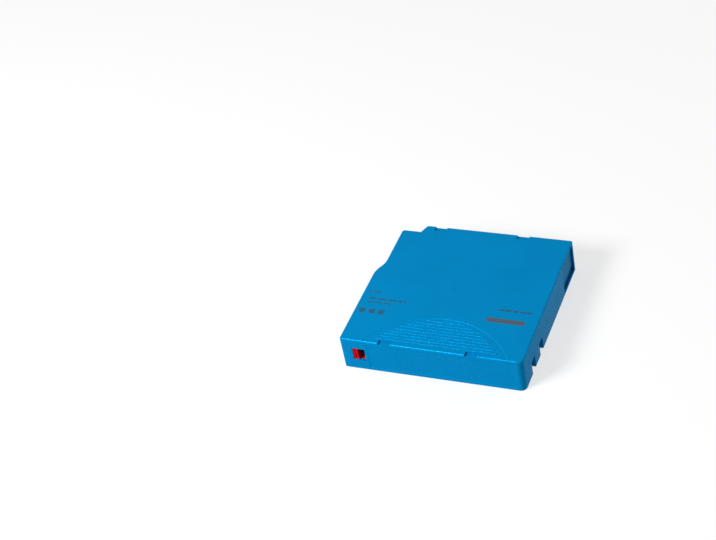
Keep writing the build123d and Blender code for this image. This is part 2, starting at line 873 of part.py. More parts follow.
# Upper flange, seated on the hub with a spigot in its bore
spigot_radius = hub_inner - spigot_gap
with BuildPart() as reel_flange:
    with BuildSketch(reel_section):
        with BuildLine():
            Polyline(
                (flange_bore, hub_top),
                (spigot_radius - spigot_wall, hub_top),
                (spigot_radius - spigot_wall, hub_top - spigot_depth),
                (spigot_radius, hub_top - spigot_depth),
                (spigot_radius, hub_top),
                (flange_radius, hub_top),
                (flange_radius, hub_top + flange_rim),
                (hub_radius, hub_top + flange_root),
                (flange_bore, hub_top + flange_root),
                close=True,
            )
        make_face()
    revolve(axis=Axis((reel_x, 0, 0), (0, 0, 1)))
reel_flange.part.label = "reel_flange"
export_step(reel_flange.part, "parts/reel_flange.step")

# Steel clutch ring in the underside of the hub
with BuildPart() as clutch_plate:
    with BuildSketch(reel_plane.offset(floor_under - clutch_thickness)):
        Circle(clutch_outer)
        Circle(clutch_inner, mode=Mode.SUBTRACT)
    extrude(amount=clutch_thickness)
    chamfer(clutch_plate.faces().sort_by(Axis.Z)[0].edges(), clutch_chamfer)
clutch_plate.part.label = "clutch_plate"
export_step(clutch_plate.part, "parts/clutch_plate.step")

# Wound tape
with BuildPart() as tape_pack:
    with BuildSketch(reel_plane.offset(tape_bottom)):
        Circle(pack_radius)
        Circle(hub_radius + pack_gap, mode=Mode.SUBTRACT)
    extrude(amount=tape_width)
tape_pack.part.label = "tape_pack"
export_step(tape_pack.part, "parts/tape_pack.step")

# Free run of tape, from the tangent point beside the pack to the clip on the pin
leader_radius = pack_radius + leader_gap
pin_distance = math.hypot(pin_x - reel_x, pin_y)
tangent_angle = math.atan2(pin_y, pin_x - reel_x) + math.acos(leader_radius / pin_distance)
tangent_x = reel_x + leader_radius * math.cos(tangent_angle)
tangent_y = leader_radius * math.sin(tangent_angle)
clip_radius = pin_radius + clip_gap + clip_wall
run_length = math.sqrt(pin_distance**2 - leader_radius**2)
run_x = (pin_x - tangent_x) / run_length
run_y = (pin_y - tangent_y) / run_length
with BuildPart() as tape_leader:
    with BuildSketch(
        Plane(origin=(tangent_x, tangent_y, tape_bottom), x_dir=(run_x, run_y, 0), z_dir=(0, 0, 1))
    ):
        Rectangle(
            run_length - clip_radius, tape_thickness, align=(Align.MIN, Align.CENTER)
        )
    extrude(amount=tape_width)
tape_leader.part.label = "tape_leader"
export_step(tape_leader.part, "parts/tape_leader.step")

# Leader pin, a turned spool
with BuildPart() as leader_pin:
    with BuildSketch(pin_section):
        with BuildLine():
            Polyline(
                (0, pin_bottom),
                (pin_end_radius - pin_chamfer, pin_bottom),
                (pin_end_radius, pin_bottom + pin_chamfer),
                (pin_end_radius, pin_bottom + pin_end_height),
                (pin_radius, pin_bottom + pin_end_height),
                (pin_radius, pin_top - pin_end_height),
                (pin_end_radius, pin_top - pin_end_height),
                (pin_end_radius, pin_top - pin_chamfer),
                (pin_end_radius - pin_chamfer, pin_top),
                (0, pin_top),
                close=True,
            )
        make_face()
    revolve(axis=Axis((pin_x, pin_y, 0), (0, 0, 1)))
leader_pin.part.label = "leader_pin"
export_step(leader_pin.part, "parts/leader_pin.step")

# Clip that clamps the end of the tape on the pin
clip_bottom = pin_bottom + pin_end_height + clip_end_gap
clip_top = pin_top - pin_end_height - clip_end_gap
with BuildPart() as leader_clip:
    with BuildSketch(pin_plane.offset(clip_bottom)):
        Circle(clip_radius)
        Circle(pin_radius + clip_gap, mode=Mode.SUBTRACT)
        with Locations((clip_radius, 0)):
            Rectangle(2 * clip_radius, clip_slot, mode=Mode.SUBTRACT)
    extrude(amount=clip_top - clip_bottom)
leader_clip.part.label = "leader_clip"
export_step(leader_clip.part, "parts/leader_clip.step")

# Sheet spring that holds both ends of the pin in their seats
back_y = inner_rear_y - sheet_stand_off
foot_y = pin_y + pin_end_radius + pin_end_gap + sheet / 2
arm_x = pin_x - pin_spring_offset
with BuildPart() as pin_spring:
    with BuildSketch(Plane.XY.offset(pin_bottom)):
        with BuildLine() as arm_line:
            FilletPolyline(
                (arm_x - pin_spring_back, back_y),
                (arm_x, back_y),
                (arm_x, foot_y),
                (pin_x + pin_spring_foot, foot_y),
                radius=pin_spring_bend,
            )
        trace(line_width=sheet)
    extrude(amount=pin_length)
    box_between(
        (arm_x - sheet, foot_y - sheet, pin_bottom + pin_spring_arm),
        (pin_x + pin_end_radius, back_y - pin_spring_web, pin_top - pin_spring_arm),
        Mode.SUBTRACT,
    )
pin_spring.part.label = "pin_spring"
export_step(pin_spring.part, "parts/pin_spring.step")

# Brake button, which slides on the cross-shaped key of the cover
with BuildPart() as brake_button:
    with BuildSketch(reel_section):
        with BuildLine():
            Polyline(
                (0, pad_top + pad_gap),
                (brake_nose_radius - brake_nose_chamfer, pad_top + pad_gap),
                (brake_nose_radius, pad_top + pad_gap + brake_nose_chamfer),
                (brake_nose_radius, brake_under),
                (brake_rim_radius, brake_under),
                (brake_rim_radius, brake_top + brake_rim_height),
                (brake_rim_radius - brake_rim_width, brake_top + brake_rim_height),
                (brake_rim_radius - brake_rim_width, brake_top),
                (brake_collar_radius, brake_top),
                (brake_collar_radius, collar_top),
                (0, collar_top),
                close=True,
            )
        make_face()
    revolve(axis=Axis((reel_x, 0, 0), (0, 0, 1)))
    with BuildSketch(reel_plane.offset(brake_top + brake_collar_floor)):
        Rectangle(key_arm + 2 * key_gap, key_thickness + 2 * key_gap)
        Rectangle(key_thickness + 2 * key_gap, key_arm + 2 * key_gap)
    extrude(amount=collar_top - brake_top, mode=Mode.SUBTRACT)
    with Locations(*[
        Location((reel_x, 0, brake_under), (0, 0, (index + 0.5) * brake_step))
        for index in range(brake_teeth_count)
    ]):
        add(brake_tooth_down)
brake_button.part.label = "brake_button"
export_step(brake_button.part, "parts/brake_button.step")

# Brake spring, a coil between the brake and the top of the case
coil_bottom = brake_top + brake_wire + spring_end_gap
coil_height = ceiling - brake_wire - spring_end_gap - coil_bottom
with BuildPart() as brake_spring:
    with BuildLine(Plane((reel_x, 0, coil_bottom))) as brake_coil:
        Polyline(
            coil_points(
                brake_coil_radius, brake_wire, coil_height, brake_coil_turns, brake_coil_steps
            )
        )
    with BuildSketch(Plane(origin=brake_coil.line @ 0, z_dir=brake_coil.line % 0)):
        RegularPolygon(brake_wire, 6)
    sweep(transition=Transition.RIGHT)
brake_spring.part.label = "brake_spring"
export_step(brake_spring.part, "parts/brake_spring.step")

# Release pad, whose legs reach through the hub between the drive teeth
with BuildPart() as release_pad:
    with BuildSketch(reel_plane.offset(pad_bottom)):
        Circle(pad_radius)
        with PolarLocations(leg_circle / 2, leg_count):
            Rectangle(leg_circle, pad_arm_width)
        with PolarLocations(leg_circle, leg_count):
            Circle(pad_arm_width / 2)
    extrude(amount=pad_thickness)
    with BuildSketch(reel_plane.offset(pad_bottom - leg_reach)):
        with PolarLocations(leg_circle, leg_count):
            Circle(leg_radius)
    extrude(amount=leg_reach)
release_pad.part.label = "release_pad"
export_step(release_pad.part, "parts/release_pad.step")

# Sliding door over the way out for the leader pin
with BuildPart() as access_door:
    box_between(
        (door_inner_x, door_tail_y, door_bottom), (door_outer_x, door_front_y, door_top)
    )
    box_between(
        (door_outer_x - door_step_depth, door_tail_y + door_tail_length, door_bottom - cut_over),
        (door_outer_x + cut_over, door_front_y + cut_over, door_step_height),
        Mode.SUBTRACT,
    )
    box_between(
        (door_inner_x - door_tail_width + door_thickness, door_tail_y, spring_z - door_tail_height / 2),
        (door_outer_x, door_tail_y + door_tail_length, spring_z + door_tail_height / 2),
    )
    with BuildSketch(Plane.XZ.offset(-door_tail_y)):
        with Locations((spring_x, spring_z)):
            Circle(door_rod_radius)
    extrude(amount=door_rod_length)
access_door.part.label = "access_door"
export_step(access_door.part, "parts/access_door.step")

# Door spring, a coil between the door and the stop in its channel
coil_start_y = spring_stop_y + spring_wire + spring_end_gap
coil_end_y = door_tail_y - spring_wire - spring_end_gap
coil_plane = Plane(origin=(spring_x, coil_start_y, spring_z), x_dir=(1, 0, 0), z_dir=(0, 1, 0))
with BuildPart() as door_spring:
    with BuildLine(coil_plane) as door_coil:
        Polyline(
            coil_points(
                spring_coil_radius, spring_wire, coil_end_y - coil_start_y, spring_turns, spring_steps
            )
        )
    with BuildSketch(Plane(origin=door_coil.line @ 0, z_dir=door_coil.line % 0)):
        RegularPolygon(spring_wire, 6)
    sweep(transition=Transition.RIGHT)
door_spring.part.label = "door_spring"
export_step(door_spring.part, "parts/door_spring.step")

# Write-protect slider
with BuildPart() as write_protect_slider:
    box_between(
        (slider_left_x, slider_front_y, slider_bottom),
        (slider_right_x, slider_back_y, slider_top_of_floor),
    )
    box_between(
        (slider_left_x, slider_front_y, slider_bottom),
        (slider_rib_x + slider_rib_width, slider_front_y + slider_rib_depth, slider_rib_top),
    )
    box_between(
        (slider_rib_x, -half_length + slider_rib_set_back, slider_top_of_floor),
        (slider_rib_x + slider_rib_width, slider_front_y, slider_rib_top),
    )
    box_between(
        (slider_rib_x + slider_groove_margin, -half_length,
         slider_top_of_floor + slider_groove_floor),
        (slider_rib_x + slider_rib_width - slider_groove_margin,
         -half_length + slider_rib_set_back + slider_groove_depth, slider_rib_top + cut_over),
        Mode.SUBTRACT,
    )
    with Locations((slider_stop_x, slider_back_y, slider_bottom)):
        Cylinder(stop_radius, slider_floor, align=(Align.CENTER, Align.CENTER, Align.MIN))
write_protect_slider.part.label = "write_protect_slider"
export_step(write_protect_slider.part, "parts/write_protect_slider.step")

# Cartridge memory: a board tilted by 45 degrees, its chip inside and its antenna outside
board_plane = Plane(origin=(board_x, board_y, board_z), x_dir=(1, 0, 0), z_dir=(0, -1, -1))
with BuildPart() as memory_board:
    with BuildSketch(board_plane):
        Rectangle(board_width, board_height)
    extrude(amount=board_thickness / 2, both=True)
memory_board.part.label = "memory_board"
export_step(memory_board.part, "parts/memory_board.step")
with BuildPart() as memory_chip:
    with BuildSketch(board_plane.offset(-board_thickness / 2)):
        Rectangle(chip_size, chip_size)
    extrude(amount=-chip_height, taper=chip_draft)
memory_chip.part.label = "memory_chip"
export_step(memory_chip.part, "parts/memory_chip.step")
loop_width = board_width - 2 * (board_engagement + antenna_margin)
loop_height = board_height - 2 * antenna_margin
with BuildPart() as memory_antenna:
    with BuildSketch(board_plane.offset(board_thickness / 2)):
        RectangleRounded(loop_width, loop_height, antenna_width)
        RectangleRounded(
            loop_width - 2 * antenna_width,
            loop_height - 2 * antenna_width,
            antenna_width / 2,
            mode=Mode.SUBTRACT,
        )
    extrude(amount=antenna_thickness)
memory_antenna.part.label = "memory_antenna"
export_step(memory_antenna.part, "parts/memory_antenna.step")
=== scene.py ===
import json
import math

import bmesh
import bpy
from mathutils import Matrix, Vector


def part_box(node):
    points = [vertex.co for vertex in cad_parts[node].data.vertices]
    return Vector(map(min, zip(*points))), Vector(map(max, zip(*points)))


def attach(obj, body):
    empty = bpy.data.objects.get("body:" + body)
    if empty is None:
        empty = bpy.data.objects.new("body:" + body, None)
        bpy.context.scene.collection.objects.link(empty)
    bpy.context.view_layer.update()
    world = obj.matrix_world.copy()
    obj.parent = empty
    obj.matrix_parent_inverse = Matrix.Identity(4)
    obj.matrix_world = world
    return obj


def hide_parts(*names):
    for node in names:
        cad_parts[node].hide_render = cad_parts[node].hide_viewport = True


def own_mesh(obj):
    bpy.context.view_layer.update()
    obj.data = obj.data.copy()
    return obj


bl_info = {
    "name": "Tape cartridge finish",
    "version": (1, 0, 0),
    "blender": (4, 5, 0),
    "location": "3D View > Sidebar > Cartridge",
    "description": "Case, printed marks, reel, brake, leader, door and studio of a tape cartridge",
    "category": "Object",
}

MM = 0.001
MERGE_DISTANCE = 1e-6
SHARP_ANGLE = math.radians(28)

# The photographed plastic glints cyan and hardly ever white, so part of its gloss is metallic,
# tinted, and the clear part is nearly off
SHEEN = {"shine": 0.01, "tint": (0.1, 0.8, 1.0), "pearl": 0.15}

# Sizes that the frame's boxes don't give, as in the part's source
DOOR_WIRE_RADIUS = 0.18 * MM
BRAKE_WIRE_RADIUS = 0.45 * MM
PACK_INNER_RADIUS = 22.03 * MM

# How far the ragged edge of the wound tape may stand out, and the room left for it
TURN_UNEVENNESS = 0.035 * MM
WINDING_ROOM = 0.08 * MM
TURN_SHARP_ANGLE = math.radians(12)

# Nearly all values of a noise texture lie between these
NOISE_LOW = 0.3
NOISE_HIGH = 0.7

# Rings of a wave texture in each unit of length at a scale of 1
WAVE_RINGS = 20

# Case screws
SCREW_COUNT = 4
TIP_DEPTH = 0.1 * MM
LEAST_SCREW_SPACING = 3 * MM

# Studio, in metres but for the sensor, which is in millimetres. The floor's own tone and glow
# add up to white in the lamps' light, and leave its shadow soft
LAMP_DISTANCE = 1.2
FLOOR_REACH = 3.0
FLOOR_LEVEL = -0.05 * MM
FLOOR_TONE = 0.36
FLOOR_GLOW = 0.67
SENSOR_WIDTH = 36

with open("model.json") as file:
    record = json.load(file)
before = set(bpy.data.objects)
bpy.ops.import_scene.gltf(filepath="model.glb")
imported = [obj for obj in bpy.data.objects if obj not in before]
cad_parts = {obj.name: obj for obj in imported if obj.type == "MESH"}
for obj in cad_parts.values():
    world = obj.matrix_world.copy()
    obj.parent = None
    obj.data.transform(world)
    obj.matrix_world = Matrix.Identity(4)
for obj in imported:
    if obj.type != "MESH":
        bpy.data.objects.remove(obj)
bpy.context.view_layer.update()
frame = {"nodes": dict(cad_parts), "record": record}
TOP_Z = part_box("cover_shell")[1].z
PACK_LOW, PACK_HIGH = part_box("tape_pack")
REEL_AXIS = ((PACK_LOW.x + PACK_HIGH.x) / 2, (PACK_LOW.y + PACK_HIGH.y) / 2)


# Meshes

def place(name, mesh, body, finish=None):
    """Object for a finished mesh, riding on its body."""
    piece = bpy.data.objects.new(name, mesh)
    bpy.context.scene.collection.objects.link(piece)
    if finish:
        mesh.materials.clear()
        mesh.materials.append(finish)
    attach(piece, body)
    return piece


def body_of(node):
    """Name of the body that carries a CAD node."""
    for body, nodes in frame["record"]["behaviour"]["bodies"].items():
        if node in nodes:
            return body
    raise RuntimeError(f"no body carries {node}")


def merged_mesh(node, name):
    """Copy of a CAD node's mesh with its loose triangles joined and its curves shaded smooth."""
    work = bmesh.new()
    work.from_mesh(frame["nodes"][node].data)
    bmesh.ops.remove_doubles(work, verts=work.verts, dist=MERGE_DISTANCE)
    mesh = bpy.data.meshes.new(name)
    work.to_mesh(mesh)
    work.free()
    custom = mesh.attributes.get("custom_normal")
    if custom:
        mesh.attributes.remove(custom)
    mesh.shade_smooth()
    mesh.set_sharp_from_angle(angle=SHARP_ANGLE)
    return mesh


def moulding(node, name, finish):
    """Smooth-shaded piece that stands for a CAD node of the same shape."""
    piece = place(name, merged_mesh(node, name), body_of(node), finish)
    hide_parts(node)
    return piece


def dress(node, finish):
    """Gives a CAD node that is shown as it is its detailed material."""
    mesh = frame["nodes"][node].data
    mesh.materials.clear()
    mesh.materials.append(finish)


def run_tree(name, tree, values, mesh=None):
    """Plain mesh that a Geometry Nodes tree makes with the given inputs."""
    host = bpy.data.objects.new(name, mesh or bpy.data.meshes.new(name))
    bpy.context.scene.collection.objects.link(host)
    modifier = host.modifiers.new("shape", "NODES")
    modifier.node_group = tree
    sockets = {s.name: s for s in tree.interface.items_tree if s.in_out == "INPUT"}
    for key, value in values.items():
        modifier[sockets[key].identifier] = value
    bpy.context.view_layer.update()
    graph = bpy.context.evaluated_depsgraph_get()
    result = bpy.data.meshes.new_from_object(host.evaluated_get(graph))
    host.modifiers.remove(modifier)
    bpy.data.objects.remove(host)
    if not result.polygons:
        raise RuntimeError(f"{name} came out empty")
    return result


# Geometry Nodes trees

class Tree:
    """Small builder for a node tree: adds nodes, sets inputs and links them."""

    def __init__(self, name, inputs):
        self.tree = bpy.data.node_groups.new(name, "GeometryNodeTree")
        face = self.tree.interface
        face.new_socket("Geometry", in_out="INPUT", socket_type="NodeSocketGeometry")
        for label, kind in inputs:
            face.new_socket(label, in_out="INPUT", socket_type=f"NodeSocket{kind}")
        face.new_socket("Geometry", in_out="OUTPUT", socket_type="NodeSocketGeometry")
        self.given = self.tree.nodes.new("NodeGroupInput").outputs
        self.result = self.tree.nodes.new("NodeGroupOutput").inputs

    def add(self, kind, settings=None, **inputs):
        node = self.tree.nodes.new(kind)
        for key, value in (settings or {}).items():
            setattr(node, key, value)
        for key, value in inputs.items():
            socket = self.socket(node, key)
            if isinstance(value, bpy.types.NodeSocket):
                self.tree.links.new(value, socket)
            else:
                socket.default_value = value
        return node

    def socket(self, node, key):
        """Input by its number, as in_0, or by its label with spaces as underscores."""
        if key.startswith("in_"):
            return node.inputs[int(key[3:])]
        return node.inputs[key.replace("_", " ")]

    def math(self, operation, *values):
        pairs = {f"in_{i}": v for i, v in enumerate(values)}
        return self.add("ShaderNodeMath", {"operation": operation}, **pairs).outputs[0]

    def ramp(self, value, low, high, out_low, out_high):
        """Value carried from one range to another, held at its ends."""
        node = self.add(
            "ShaderNodeMapRange", {"clamp": True}, Value=value, From_Min=low, From_Max=high,
            To_Min=out_low, To_Max=out_high,
        )
        return node.outputs["Result"]

    def close(self, geometry):
        """Ends the tree in Realize Instances and Set Material."""
        real = self.add("GeometryNodeRealizeInstances", Geometry=geometry)
        last = self.add(
            "GeometryNodeSetMaterial",
            Geometry=real.outputs["Geometry"],
            Material=self.given["Material"],
        )
        self.tree.links.new(last.outputs["Geometry"], self.result["Geometry"])
        return self.tree


def coil_tree():
    """Compression coil of round wire along Z, with end turns that lie nearly flat."""
    t = Tree("wire_coil", [
        ("Coil Radius", "Float"), ("Wire Radius", "Float"), ("Height", "Float"),
        ("Turns", "Float"), ("Flat Turns", "Float"), ("Steps", "Int"), ("Sides", "Int"),
        ("Material", "Material"),
    ])
    given = t.given
    spiral = t.add(
        "GeometryNodeCurveSpiral", Resolution=given["Steps"], Rotations=given["Turns"],
        Start_Radius=given["Coil Radius"], End_Radius=given["Coil Radius"], Height=0.0,
    )
    along = t.add("GeometryNodeSplineParameter").outputs["Factor"]
    flat = t.math("DIVIDE", given["Flat Turns"], given["Turns"])
    end = t.math("SUBTRACT", 1.0, flat)
    closing = t.math("MULTIPLY", given["Wire Radius"], 2.0)
    middle = t.math("SUBTRACT", given["Height"], t.math("MULTIPLY", closing, 2.0))
    level = t.math(
        "ADD",
        t.math(
            "ADD", t.ramp(along, 0.0, flat, 0.0, closing), t.ramp(along, end, 1.0, 0.0, closing)
        ),
        t.ramp(along, flat, end, 0.0, middle),
    )
    lift = t.add("ShaderNodeCombineXYZ", Z=level).outputs["Vector"]
    raised = t.add(
        "GeometryNodeSetPosition", Geometry=spiral.outputs["Curve"], Offset=lift
    ).outputs["Geometry"]
    wire = t.add(
        "GeometryNodeCurvePrimitiveCircle", Resolution=given["Sides"], Radius=given["Wire Radius"]
    ).outputs["Curve"]
    tube = t.add("GeometryNodeCurveToMesh", Curve=raised, Profile_Curve=wire, Fill_Caps=True)
    smooth = t.add("GeometryNodeSetShadeSmooth", Geometry=tube.outputs["Mesh"])
    return t.close(smooth.outputs["Geometry"])


def mark_row_tree():
    """Row of thin rounded bars of uneven length, laid on a face."""
    t = Tree("mark_row", [
        ("Count", "Int"), ("Pitch", "Float"), ("Length", "Float"), ("Width", "Float"),
        ("Corner", "Float"), ("Thickness", "Float"), ("Unevenness", "Float"),
        ("Seed", "Int"), ("Material", "Material"),
    ])
    given = t.given
    offset = t.add("ShaderNodeCombineXYZ", X=given["Pitch"]).outputs["Vector"]
    points = t.add("GeometryNodeMeshLine", Count=given["Count"], Offset=offset)
    bar = t.add(
        "GeometryNodeCurvePrimitiveQuadrilateral", Width=given["Length"], Height=given["Width"]
    )
    rounded = t.add(
        "GeometryNodeFilletCurve", {"mode": "POLY"}, Curve=bar.outputs["Curve"], Count=5,
        Radius=given["Corner"],
    )
    face = t.add("GeometryNodeFillCurve", {"mode": "NGONS"}, Curve=rounded.outputs["Curve"])
    raised = t.add(
        "GeometryNodeExtrudeMesh", Mesh=face.outputs["Mesh"], Offset_Scale=given["Thickness"],
        Individual=False,
    )
    under = t.add("GeometryNodeFlipFaces", Mesh=face.outputs["Mesh"])
    both = t.add("GeometryNodeJoinGeometry")
    t.tree.links.new(raised.outputs["Mesh"], both.inputs["Geometry"])
    t.tree.links.new(under.outputs["Mesh"], both.inputs["Geometry"])
    shortest = t.math("SUBTRACT", 1.0, given["Unevenness"])
    share = t.add("FunctionNodeRandomValue", Seed=given["Seed"])
    for socket in share.inputs:
        if socket.name == "Min" and socket.type == "VALUE":
            t.tree.links.new(shortest, socket)
    amount = [s for s in share.outputs if s.type == "VALUE"][0]
    scale = t.add("ShaderNodeCombineXYZ", X=amount, Y=1.0, Z=1.0).outputs["Vector"]
    row = t.add(
        "GeometryNodeInstanceOnPoints", Points=points.outputs["Mesh"],
        Instance=both.outputs["Geometry"], Scale=scale,
    )
    return t.close(row.outputs["Instances"])


def at_points_tree():
    """One shape set at each vertex of the host mesh."""
    t = Tree("at_points", [("Shape", "Object"), ("Material", "Material")])
    shape = t.add("GeometryNodeObjectInfo", Object=t.given["Shape"])
    row = t.add(
        "GeometryNodeInstanceOnPoints", Points=t.given["Geometry"],
        Instance=shape.outputs["Geometry"],
    )
    return t.close(row.outputs["Instances"])


def winding_tree():
    """Ring of wound tape, whose turns stand slightly proud of each other at both edges."""
    t = Tree("winding", [
        ("Inner Radius", "Float"), ("Outer Radius", "Float"), ("Width", "Float"),
        ("Bands", "Int"), ("Unevenness", "Float"), ("Steps", "Int"), ("Seed", "Int"),
        ("Material", "Material"),
    ])
    given = t.given
    depth = t.math("SUBTRACT", given["Outer Radius"], given["Inner Radius"])
    middle = t.math("MULTIPLY", t.math("ADD", given["Outer Radius"], given["Inner Radius"]), 0.5)
    section = t.add("GeometryNodeCurvePrimitiveQuadrilateral", Width=depth, Height=given["Width"])
    fine = t.add(
        "GeometryNodeSubdivideCurve", Curve=section.outputs["Curve"], Cuts=given["Bands"]
    )
    low = t.math("MULTIPLY", given["Unevenness"], -1.0)
    random = t.add("FunctionNodeRandomValue", Seed=given["Seed"])
    for socket in random.inputs:
        if socket.type == "VALUE" and socket.name in ("Min", "Max"):
            t.tree.links.new(low if socket.name == "Min" else given["Unevenness"], socket)
    drift = [s for s in random.outputs if s.type == "VALUE"][0]
    place_in = t.add("GeometryNodeInputPosition").outputs["Position"]
    across = t.add("ShaderNodeSeparateXYZ", Vector=place_in)
    half = t.math("MULTIPLY", given["Width"], 0.5)

    # Only the points along the two faces drift, and not those on the inner and outer turn
    face_from = t.math("MULTIPLY", half, 0.99)
    edge = t.math("GREATER_THAN", t.math("ABSOLUTE", across.outputs["Y"]), face_from)
    face_to = t.math("MULTIPLY", depth, 0.49)
    inside = t.math("LESS_THAN", t.math("ABSOLUTE", across.outputs["X"]), face_to)
    shift = t.math("MULTIPLY", t.math("MULTIPLY", edge, inside), drift)
    offset = t.add("ShaderNodeCombineXYZ", Y=shift).outputs["Vector"]
    ragged = t.add(
        "GeometryNodeSetPosition", Geometry=fine.outputs["Curve"], Offset=offset
    ).outputs["Geometry"]
    circle = t.add("GeometryNodeCurvePrimitiveCircle", Resolution=given["Steps"], Radius=middle)
    ring = t.add(
        "GeometryNodeCurveToMesh", Curve=circle.outputs["Curve"], Profile_Curve=ragged
    )
    return t.close(ring.outputs["Mesh"])


# Materials

class Finish:
    """A material under construction: a Principled shader fed from Object coordinates."""

    def __init__(self, name, **constants):
        self.material = bpy.data.materials.new(name)
        self.material.use_nodes = True
        self.nodes = self.material.node_tree.nodes
        self.links = self.material.node_tree.links
        self.nodes.clear()
        output = self.nodes.new("ShaderNodeOutputMaterial")
        self.shader = self.nodes.new("ShaderNodeBsdfPrincipled")
        self.links.new(self.shader.outputs["BSDF"], output.inputs["Surface"])
        for key, value in constants.items():
            self.shader.inputs[key.replace("_", " ")].default_value = value
        self.normal = None

    def coordinates(self, centre=(0, 0, 0), stretch=(1, 1, 1)):
        """Object coordinates moved to a centre and stretched along the axes."""
        source = self.nodes.new("ShaderNodeTexCoord")
        mapping = self.nodes.new("ShaderNodeMapping")
        mapping.inputs["Location"].default_value = [-c * s for c, s in zip(centre, stretch)]
        mapping.inputs["Scale"].default_value = stretch
        self.links.new(source.outputs["Object"], mapping.inputs["Vector"])
        return mapping.outputs["Vector"]

    def noise(self, size, detail=2.0, stretch=(1, 1, 1)):
        """Cloudy pattern with features of about the given size in metres."""
        node = self.nodes.new("ShaderNodeTexNoise")
        node.inputs["Scale"].default_value = 1 / size
        node.inputs["Detail"].default_value = detail
        self.links.new(self.coordinates(stretch=stretch), node.inputs["Vector"])
        return node.outputs["Fac"]

    def rings(self, pitch, centre, distortion):
        """Concentric rings about an upright axis."""
        node = self.nodes.new("ShaderNodeTexWave")
        node.wave_type = "RINGS"
        node.rings_direction = "Z"
        node.inputs["Scale"].default_value = 1 / (pitch * WAVE_RINGS)
        node.inputs["Distortion"].default_value = distortion
        node.inputs["Detail"].default_value = 1.0
        self.links.new(self.coordinates((*centre, 0)), node.inputs["Vector"])
        return node.outputs["Fac"]

    def spread(self, value, low, high):
        """Pattern's value carried to a range of numbers."""
        node = self.nodes.new("ShaderNodeMapRange")
        node.inputs["From Min"].default_value = NOISE_LOW
        node.inputs["From Max"].default_value = NOISE_HIGH
        node.inputs["To Min"].default_value = low
        node.inputs["To Max"].default_value = high
        self.links.new(value, node.inputs["Value"])
        return node.outputs["Result"]

    def colour(self, value, first, second):
        """Base colour between two tones, chosen by a pattern."""
        node = self.nodes.new("ShaderNodeValToRGB")
        node.color_ramp.elements[0].position = NOISE_LOW
        node.color_ramp.elements[1].position = NOISE_HIGH
        node.color_ramp.elements[0].color = (*first, 1)
        node.color_ramp.elements[1].color = (*second, 1)
        self.links.new(value, node.inputs["Fac"])
        self.links.new(node.outputs["Color"], self.shader.inputs["Base Color"])

    def roughness(self, value, low, high):
        """Roughness between two numbers, chosen by a pattern."""
        self.links.new(self.spread(value, low, high), self.shader.inputs["Roughness"])

    def rounded(self, radius):
        """Softens the look of sharp edges, as a mould's small radii do."""
        node = self.nodes.new("ShaderNodeBevel")
        node.samples = 4
        node.inputs["Radius"].default_value = radius
        self.normal = node.outputs["Normal"]
        self.links.new(self.normal, self.shader.inputs["Normal"])

    def bump(self, value, depth):
        """Relief of the given depth in metres, on top of any set before."""
        node = self.nodes.new("ShaderNodeBump")
        node.inputs["Distance"].default_value = depth
        self.links.new(value, node.inputs["Height"])
        if self.normal:
            self.links.new(self.normal, node.inputs["Normal"])
        self.normal = node.outputs["Normal"]
        self.links.new(self.normal, self.shader.inputs["Normal"])


def tones(colour, spread):
    """Darker and lighter tone of a colour."""
    return [c * (1 - spread) for c in colour], [min(c * (1 + spread), 1) for c in colour]


def moulded_plastic(name, colour, rough=0.42, cloud=0.05, grain=0.25 * MM, depth=0.004 * MM,
                    edge=0.15 * MM, spread=0.03, shine=0.3, tint=(1, 1, 1), pearl=0.0):
    """Injection-moulded plastic with a fine eroded grain.

    rough and cloud give the middle and the drift of the roughness, grain and depth the size and
    relief of the grain, edge the radius by which edges look rounded, spread the drift of the
    tone, and shine, tint and pearl the strength, colour and metallic share of the gloss.
    """
    finish = Finish(
        name, Specular_IOR_Level=shine, Specular_Tint=(*tint, 1), Metallic=pearl
    )
    finish.colour(finish.noise(24 * MM, 3.0), *tones(colour, spread))
    finish.roughness(finish.noise(5 * MM, 3.0), rough - cloud, rough + cloud)
    finish.rounded(edge)
    finish.bump(finish.noise(grain, 2.0), depth)
    return finish.material


def drawn_metal(name, colour, rough=0.28, stretch=(1, 1, 1), size=0.4 * MM, depth=0.002 * MM):
    """Bare metal with fine streaks along the direction in which it was worked."""
    finish = Finish(name, Metallic=1.0)
    finish.colour(finish.noise(3 * MM, 3.0), *tones(colour, 0.06))
    finish.roughness(finish.noise(size, 2.0, stretch=stretch), rough - 0.06, rough + 0.1)
    finish.rounded(0.08 * MM)
    finish.bump(finish.noise(size, 2.0, stretch=stretch), depth)
    return finish.material


# Settings

class CaseSettings(bpy.types.PropertyGroup):
    """Finish of the two case halves."""

    colour: bpy.props.FloatVectorProperty(
        name="Case colour", description="Colour of the case plastic", subtype="COLOR",
        size=3, min=0, max=1, default=(0.001, 0.235, 0.53),
    )
    grain: bpy.props.FloatProperty(
        name="Grain size", description="Size of the mould's grain", unit="LENGTH",
        default=0.35 * MM, min=0.05 * MM,
    )
    edge: bpy.props.FloatProperty(
        name="Edge softness", description="Radius by which sharp edges look rounded",
        unit="LENGTH", default=0.07 * MM, min=0,
    )


class MarkSettings(bpy.types.PropertyGroup):
    """Plain printed bars on the top of the case."""

    colour: bpy.props.FloatVectorProperty(
        name="Ink colour", description="Colour of the printed bars", subtype="COLOR",
        size=3, min=0, max=1, default=(0.004, 0.09, 0.17),
    )
    warm_colour: bpy.props.FloatVectorProperty(
        name="Warm ink colour", description="Colour of the thick bar at the right",
        subtype="COLOR", size=3, min=0, max=1, default=(0.06, 0.085, 0.12),
    )
    thickness: bpy.props.FloatProperty(
        name="Ink thickness", description="How far the ink stands on the case",
        unit="LENGTH", default=0.012 * MM, min=0.001 * MM,
    )


